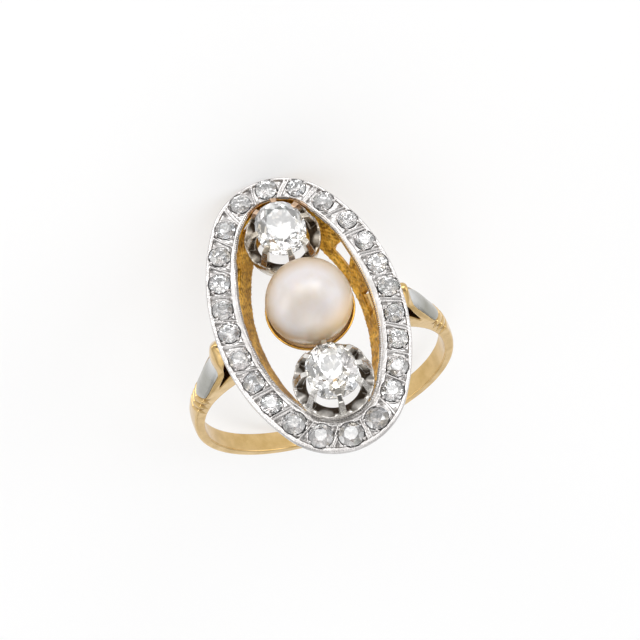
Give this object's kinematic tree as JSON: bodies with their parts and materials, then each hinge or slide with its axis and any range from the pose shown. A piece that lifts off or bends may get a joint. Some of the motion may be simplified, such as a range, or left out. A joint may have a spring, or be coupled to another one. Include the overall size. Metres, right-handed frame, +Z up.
{
  "type": "pearl and diamond ring",
  "caption": "Dress ring with a pearl between claw-set old cut diamonds inside a pave-set oval frame, on a slim gold shank with forked shoulders.",
  "frame": {"origin": "middle of the box's footprint on the surface that the ring lies on; z = 0 is that surface", "axes": "+Z up; the ring lies on its side, so the head faces -Y and the finger hole's axis rises from the surface, leaning 24 degrees towards +Y; +X is the left shoulder as the picture shows it"},
  "size_m": [0.0186, 0.024, 0.0181],
  "materials": {
    "shank_gold": "polished pale yellow gold",
    "plaque_metal": "polished grey-white metal",
    "gallery_gold": "cast gold, rough, deep golden brown inside",
    "frame_metal": "bright cut white metal",
    "collet_metal": "white metal, darkened in its recesses",
    "diamond": "faceted",
    "cup_gold": "polished gold, brown inside",
    "pearl": "cream pearl lustre with a rose tint"
  },
  "bodies": {
    "root": {"shank": "shank_gold", "shoulder_plaque_left": "plaque_metal", "shoulder_plaque_right": "plaque_metal", "gallery": "gallery_gold", "oval_frame": "frame_metal", "collet_upper": "collet_metal", "collet_lower": "collet_metal", "diamond_upper": "diamond", "diamond_lower": "diamond", "pearl_cup": "cup_gold", "pearl": "pearl"}
  },
  "joints": []
}
